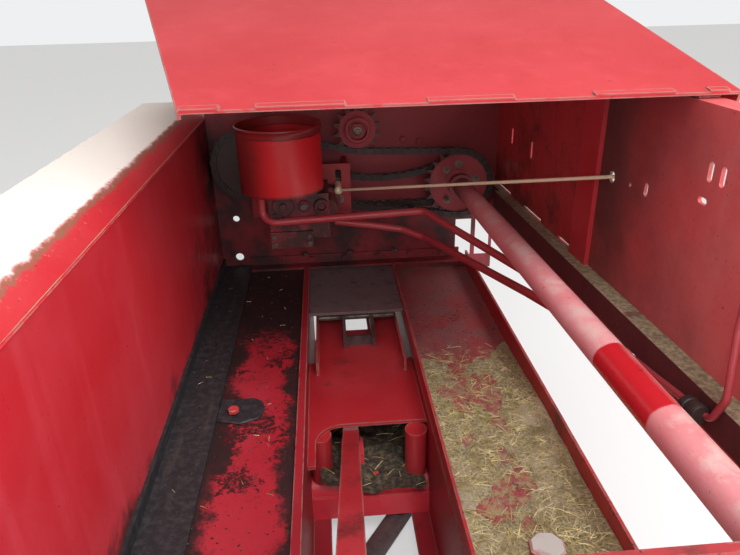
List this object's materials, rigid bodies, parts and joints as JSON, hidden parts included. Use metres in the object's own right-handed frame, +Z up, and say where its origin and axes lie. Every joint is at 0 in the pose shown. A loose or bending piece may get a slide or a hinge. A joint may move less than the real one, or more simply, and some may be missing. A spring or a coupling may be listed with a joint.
{
  "type": "drive bay of a square baler",
  "caption": "Open sheet-metal drive bay of a square baler, with a chain drive on an inclined shaft, an oil can and pump, steel lines, a floor tray and a hinged hood.",
  "frame": {"origin": "centre of the four mounting holes, on the bulkhead's rear face", "axes": "+X to the right seen from the bay's front, +Y back through the bulkhead, +Z up"},
  "size_m": [0.778, 1.1627, 0.872],
  "materials": {
    "red_paint": "faded and dusty gloss",
    "dark_red_paint": "oily and dirty",
    "worn_steel": "worn and rusty",
    "oily_steel": "black with old oil",
    "dusty_paint": "covered with field dust"
  },
  "bodies": {
    "frame": {"left_wall": "red_paint", "left_ledge": "red_paint", "ledge_gussets": "dark_red_paint", "bulkhead": "red_paint", "bulkhead_angle": "dark_red_paint", "right_panel_rear": "red_paint", "right_panel_front": "red_paint", "wall_post": "red_paint", "rail": "dusty_paint", "side_sill": "dark_red_paint", "left_floor": "red_paint", "wear_strip": "oily_steel", "left_beam": "red_paint", "right_beam": "dark_red_paint", "tray": "red_paint", "cross_plate": "oily_steel", "saddle": "red_paint", "clevis": "oily_steel", "cross_pin": "worn_steel", "posts": "red_paint", "cross_tube": "red_paint", "cross_angle": "dark_red_paint", "brace": "red_paint", "lower_shaft": "oily_steel", "front_plate": "dark_red_paint", "front_bearing": "worn_steel", "rear_bearing": "worn_steel", "knotter_bearing": "worn_steel", "idler_stand": "dark_red_paint", "front_chain": "oily_steel", "rear_chain": "oily_steel", "oil_can": "red_paint", "pump_bracket": "dark_red_paint", "pump_body": "dark_red_paint", "pressure_line": "red_paint", "return_line": "red_paint", "control_rod": "worn_steel", "hood_hinge": "worn_steel"},
    "drive": {"drive_tube": "red_paint", "drive_sprocket": "dark_red_paint", "rear_sprocket": "worn_steel"},
    "knotter_drive": {"driven_sprocket": "dark_red_paint"},
    "idler": {"idler_sprocket": "dark_red_paint"},
    "pump_drive": {"pump_sprocket": "worn_steel"},
    "hood": {"hood": "red_paint"}
  },
  "joints": [
    {"name": "shaft_spin", "type": "hinge", "parent": "frame", "child": "drive", "pos_m": [0.21, -0.06, 0.031], "axis": [0, 0.9991, -0.0419], "continuous": true},
    {"name": "knotter_spin", "type": "hinge", "parent": "frame", "child": "knotter_drive", "pos_m": [-0.221, -0.05761, 0.08795], "axis": [0, 0.9991, -0.0419], "continuous": true},
    {"name": "idler_spin", "type": "hinge", "parent": "frame", "child": "idler", "pos_m": [0.002, -0.05506, 0.1489], "axis": [0, 0.9991, -0.0419], "continuous": true},
    {"name": "pump_spin", "type": "hinge", "parent": "frame", "child": "pump_drive", "pos_m": [-0.062, -0.03432, 0.02292], "axis": [0, 0.9991, -0.0419], "continuous": true},
    {"name": "hood_swing", "type": "hinge", "parent": "frame", "child": "hood", "pos_m": [0, -0.017, 0.463], "axis": [-1, 0, 0], "range_deg": [0, 70]}
  ],
  "couplings": [
    {"joint": "knotter_spin", "follows": "shaft_spin", "ratio": 1},
    {"joint": "idler_spin", "follows": "shaft_spin", "ratio": -1.5714},
    {"joint": "pump_spin", "follows": "shaft_spin", "ratio": 1.25}
  ]
}
